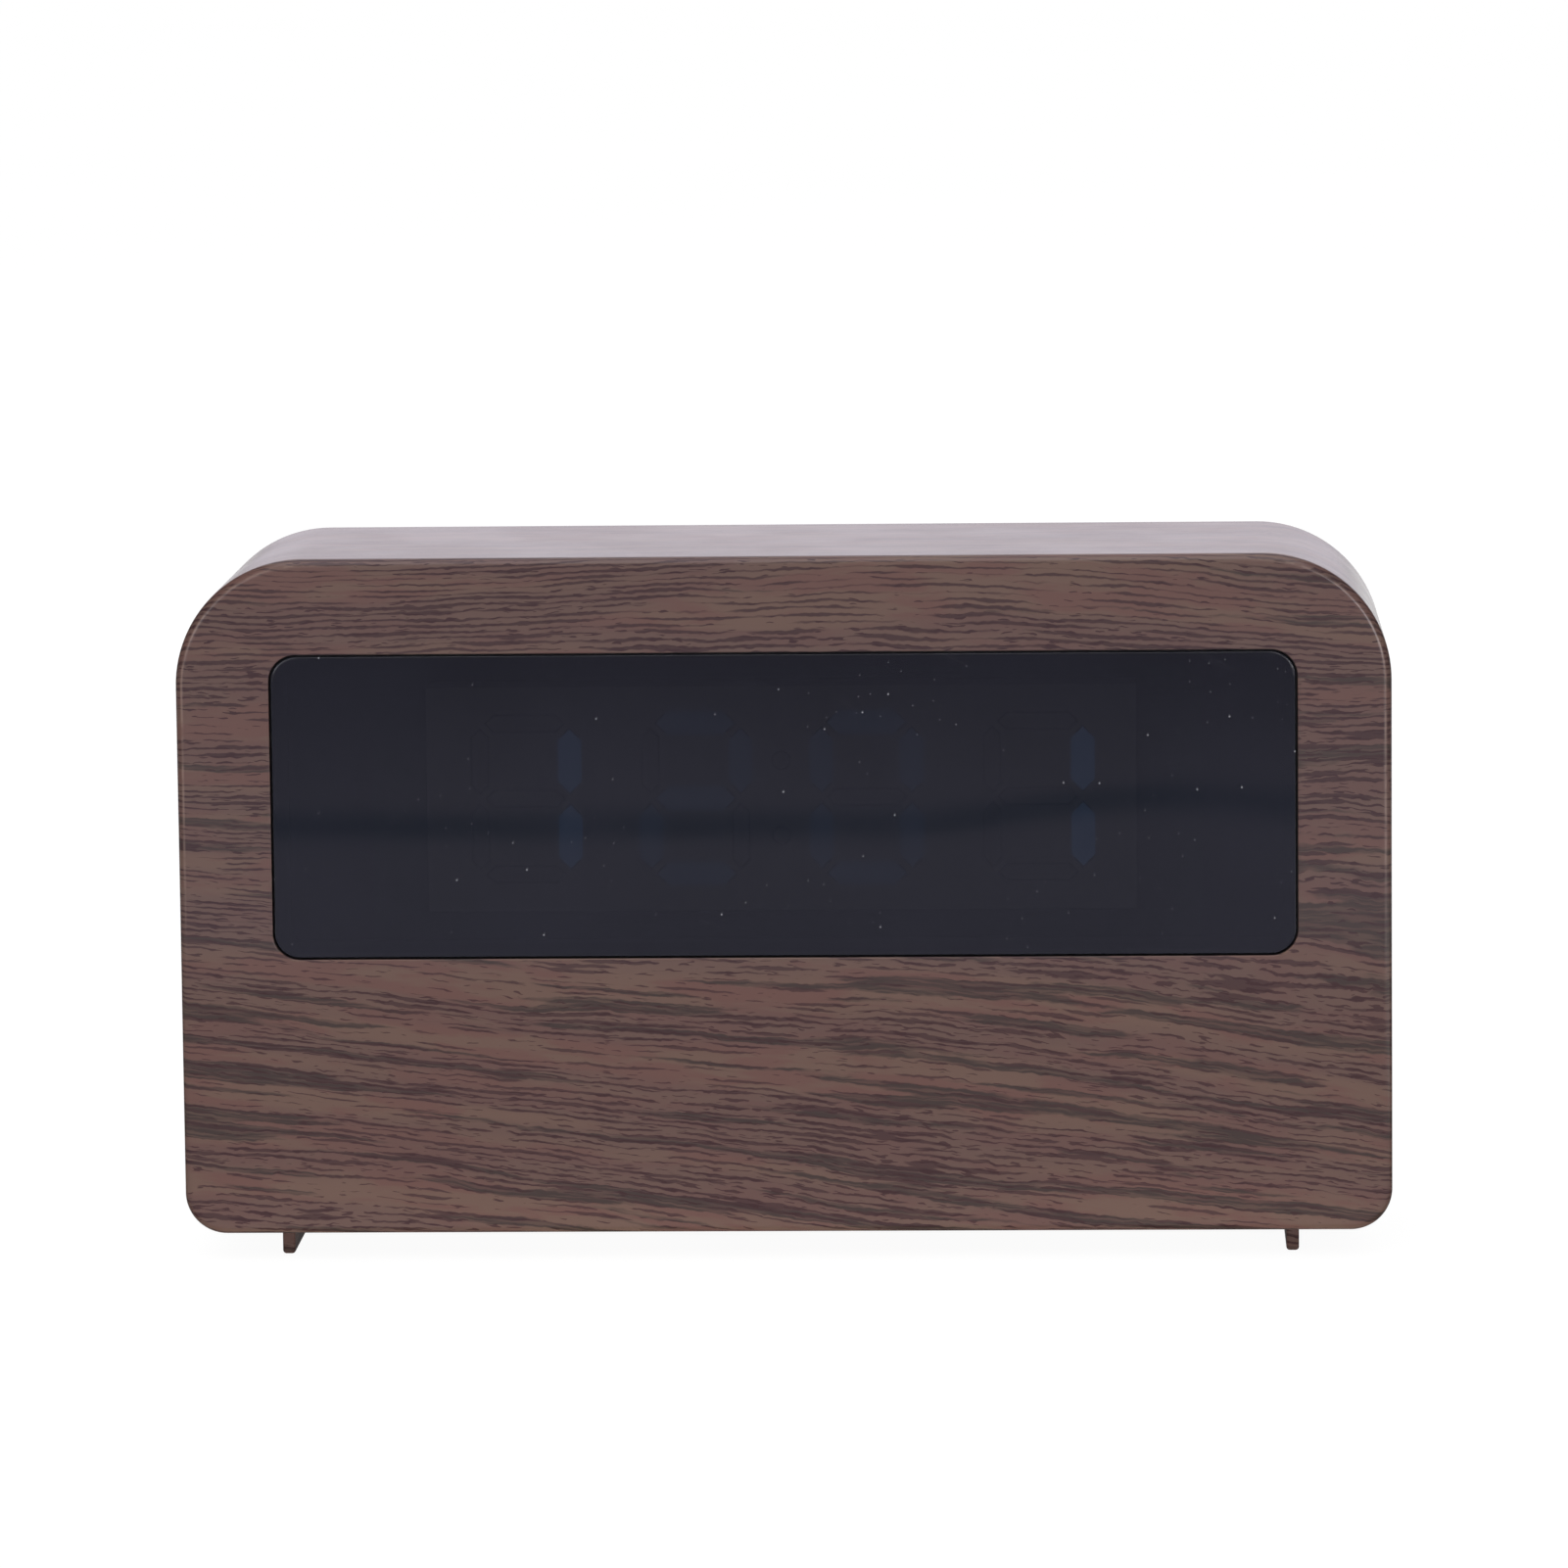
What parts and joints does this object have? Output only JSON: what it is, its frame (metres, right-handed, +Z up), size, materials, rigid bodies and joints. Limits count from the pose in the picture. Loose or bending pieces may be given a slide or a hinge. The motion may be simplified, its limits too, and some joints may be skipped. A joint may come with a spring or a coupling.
{
  "type": "digital table clock",
  "caption": "Free-standing wood-print digital clock: moulded case, dark flush window over a segment display, rear cover with push buttons, battery bay and door.",
  "frame": {"origin": "on the table under the middle of the clock, level with the undersides of the two blade feet", "axes": "+X to the right as seen from the front, +Y from the front to the back, +Z up; the window faces -Y"},
  "size_m": [0.18, 0.049, 0.1057],
  "materials": {
    "wood_print": "moulded plastic with a printed dark walnut grain, fine orange peel, satin",
    "tinted_acrylic": "polished, dark tint, lets lit segments through",
    "display_grey": "fine matt",
    "milky_resin": "cast resin, translucent",
    "circuit_board": "solder mask, satin",
    "zinc_screw": "zinc plated",
    "component_black": "matt",
    "bright_metal": "tin plated",
    "capacitor_sleeve": "shrink sleeve",
    "button_grey": "satin",
    "black_plastic": "fine spark texture",
    "black_screw": "black zinc",
    "cell_sleeve": "plain foil sleeve",
    "contact_nickel": "nickel plated spring steel",
    "wire_black": "insulated wire",
    "wire_red": "insulated wire",
    "socket_white": "matt nylon",
    "ribbon_grey": "flat cable"
  },
  "bodies": {
    "clock": {"front_case": "wood_print", "display_lens": "tinted_acrylic", "display_housing": "display_grey", "segment_fill": "milky_resin", "display_board": "circuit_board", "display_screw_1": "zinc_screw", "display_screw_2": "zinc_screw", "display_screw_3": "zinc_screw", "display_screw_4": "zinc_screw", "main_board": "circuit_board", "board_screw_1": "zinc_screw", "board_screw_2": "zinc_screw", "board_screw_3": "zinc_screw", "board_screw_4": "zinc_screw", "microcontroller": "component_black", "crystal": "bright_metal", "buzzer": "component_black", "capacitor": "capacitor_sleeve", "usb_socket": "bright_metal", "switch_set": "component_black", "switch_up": "component_black", "switch_down": "component_black", "switch_alarm": "component_black", "rear_cover": "black_plastic", "cover_screw_1": "black_screw", "cover_screw_2": "black_screw", "cover_screw_3": "black_screw", "cover_screw_4": "black_screw", "battery_cell_1": "cell_sleeve", "battery_cell_2": "cell_sleeve", "battery_cell_3": "cell_sleeve", "battery_spring_1": "contact_nickel", "battery_spring_2": "contact_nickel", "battery_spring_3": "contact_nickel", "contact_negative": "contact_nickel", "contact_link_right": "contact_nickel", "contact_link_left": "contact_nickel", "contact_positive": "contact_nickel", "wire_black": "wire_black", "wire_red": "wire_red", "socket_front": "socket_white", "socket_rear": "socket_white", "ribbon_cable": "ribbon_grey"},
    "set_button": {"button_set": "button_grey", "plunger_set": "component_black"},
    "up_button": {"button_up": "button_grey", "plunger_up": "component_black"},
    "down_button": {"button_down": "button_grey", "plunger_down": "component_black"},
    "alarm_button": {"button_alarm": "button_grey", "plunger_alarm": "component_black"},
    "door": {"battery_door": "black_plastic"}
  },
  "joints": [
    {"name": "set_press", "type": "slide", "parent": "clock", "child": "set_button", "axis": [0, -1, 0], "range_m": [0, 0.0005], "stiffness_N_per_m": 2000},
    {"name": "up_press", "type": "slide", "parent": "clock", "child": "up_button", "axis": [0, -1, 0], "range_m": [0, 0.0005], "stiffness_N_per_m": 2000},
    {"name": "down_press", "type": "slide", "parent": "clock", "child": "down_button", "axis": [0, -1, 0], "range_m": [0, 0.0005], "stiffness_N_per_m": 2000},
    {"name": "alarm_press", "type": "slide", "parent": "clock", "child": "alarm_button", "axis": [0, -1, 0], "range_m": [0, 0.0005], "stiffness_N_per_m": 2000},
    {"name": "door_tilt", "type": "hinge", "parent": "clock", "child": "door", "pos_m": [0, 0.0235, 0.01365], "axis": [-1, 0, 0], "range_deg": [0, 75]}
  ]
}
